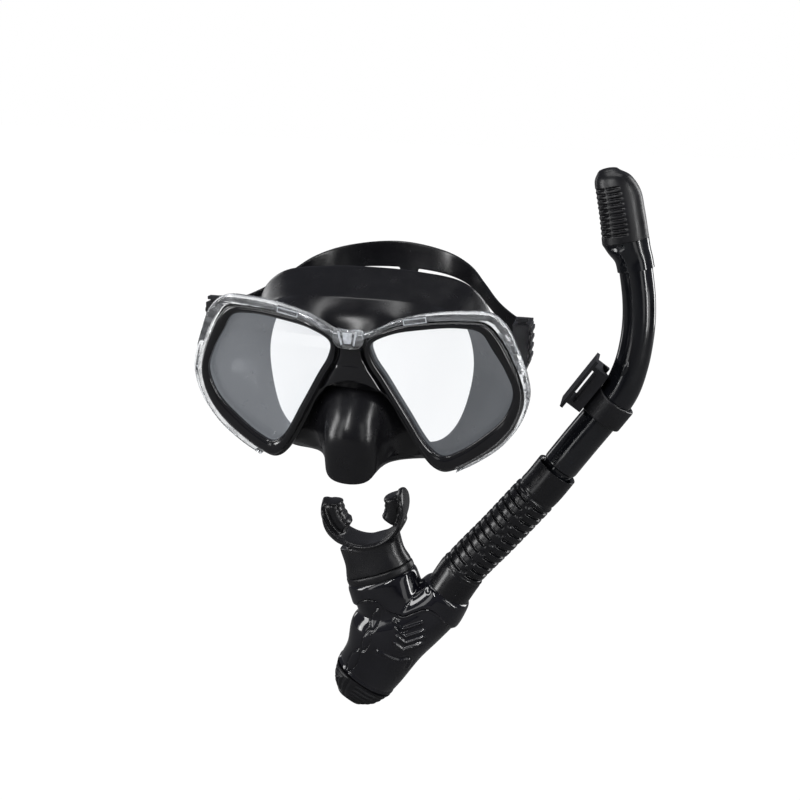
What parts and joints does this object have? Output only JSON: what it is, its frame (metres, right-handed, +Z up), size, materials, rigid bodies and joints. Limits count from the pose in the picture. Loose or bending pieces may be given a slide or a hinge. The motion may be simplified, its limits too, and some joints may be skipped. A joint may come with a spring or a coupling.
{
  "type": "snorkel mask",
  "caption": "Twin-lens dive mask with silicone skirt and split strap, shown with its dry-top snorkel, flexible hose, purge chamber and mouthpiece.",
  "frame": {"origin": "middle of the flat front face of the nose bridge, on the mask's symmetry plane", "axes": "+X to the right in the front view (the wearer's left), +Y back towards the wearer, +Z up"},
  "size_m": [0.248, 0.1288, 0.3401],
  "materials": {
    "frame_black": "polished black polycarbonate with crisp highlights",
    "moulded_black": "satin moulded black plastic",
    "snorkel_black": "high gloss black plastic tube",
    "silicone": "satin black silicone",
    "clear_plastic": "polished clear polycarbonate",
    "lens_glass": "flat tempered glass",
    "pin_steel": "stainless steel pin"
  },
  "bodies": {
    "mask": {"main_frame": "frame_black", "clear_trim": "clear_plastic", "bridge_cover": "clear_plastic", "skirt": "silicone", "lens_right": "lens_glass", "lens_left": "lens_glass", "bezel_right": "frame_black", "bezel_left": "frame_black", "buckle_bracket_right": "moulded_black", "buckle_bracket_left": "moulded_black", "buckle_pin_right": "pin_steel", "buckle_pin_left": "pin_steel"},
    "buckle_left": {"buckle_body_left": "moulded_black", "strap_roller_left": "moulded_black", "strap": "silicone"},
    "buckle_right": {"buckle_body_right": "moulded_black", "strap_roller_right": "moulded_black"},
    "release_left": {"release_button_left": "moulded_black"},
    "release_right": {"release_button_right": "moulded_black"},
    "barrel": {"barrel": "snorkel_black", "dry_top_base": "snorkel_black", "dry_top_shroud": "moulded_black", "valve_pin": "pin_steel", "flex_hose": "silicone"},
    "chamber": {"chamber_body": "snorkel_black", "chamber_cover": "snorkel_black", "purge_seat": "moulded_black", "purge_grille": "snorkel_black", "mouthpiece_clamp": "moulded_black", "mouthpiece": "silicone"},
    "purge_valve": {"purge_membrane": "silicone"},
    "float": {"float": "moulded_black"},
    "valve_flap": {"valve_flap": "silicone"},
    "keeper": {"keeper_sleeve": "moulded_black"},
    "strap_clip": {"strap_clip": "moulded_black"}
  },
  "joints": [
    {"name": "strap_swing", "type": "hinge", "parent": "mask", "child": "buckle_left", "pos_m": [-0.085, 0.03487, 0.004], "axis": [1, 0, 0], "range_deg": [-25, 45]},
    {"name": "right_buckle_swing", "type": "hinge", "parent": "mask", "child": "buckle_right", "pos_m": [0.085, 0.03487, 0.004], "axis": [1, 0, 0], "range_deg": [-25, 45]},
    {"name": "left_release_press", "type": "slide", "parent": "buckle_left", "child": "release_left", "axis": [0, 0, -1], "range_m": [0, 0.0012], "stiffness_N_per_m": 800},
    {"name": "right_release_press", "type": "slide", "parent": "buckle_right", "child": "release_right", "axis": [0, 0, -1], "range_m": [0, 0.0012], "stiffness_N_per_m": 800},
    {"name": "snorkel_carry", "type": "slide", "parent": "mask", "child": "barrel", "axis": [1, 0, 0], "range_m": [0, 0.06]},
    {"name": "hose_flex", "type": "hinge", "parent": "barrel", "child": "chamber", "pos_m": [0.0748, 0.08187, -0.1208], "axis": [0, 1, 0], "range_deg": [-30, 35], "stiffness_Nm_per_rad": 0.4, "deforming": ["flex_hose"]},
    {"name": "purge_open", "type": "slide", "parent": "chamber", "child": "purge_valve", "axis": [-0.515, 0, -0.8572], "range_m": [0, 0.0015], "stiffness_N_per_m": 200},
    {"name": "float_rise", "type": "slide", "parent": "barrel", "child": "float", "axis": [-0.225, 0, 0.9744], "range_m": [0, 0.005]},
    {"name": "flap_close", "type": "hinge", "parent": "barrel", "child": "valve_flap", "pos_m": [0.12835, 0.08187, 0.07161], "axis": [0, 1, 0], "range_deg": [0, 40]},
    {"name": "keeper_slide", "type": "slide", "parent": "barrel", "child": "keeper", "axis": [-0.5519, 0, -0.8339], "range_m": [0, 0.022]},
    {"name": "clip_slide", "type": "slide", "parent": "keeper", "child": "strap_clip", "axis": [-0.5519, 0, -0.8339], "range_m": [0, 0.018]}
  ],
  "couplings": [
    {"joint": "right_buckle_swing", "follows": "strap_swing", "ratio": 1},
    {"joint": "flap_close", "follows": "float_rise", "rad_per_m": 139.6}
  ]
}
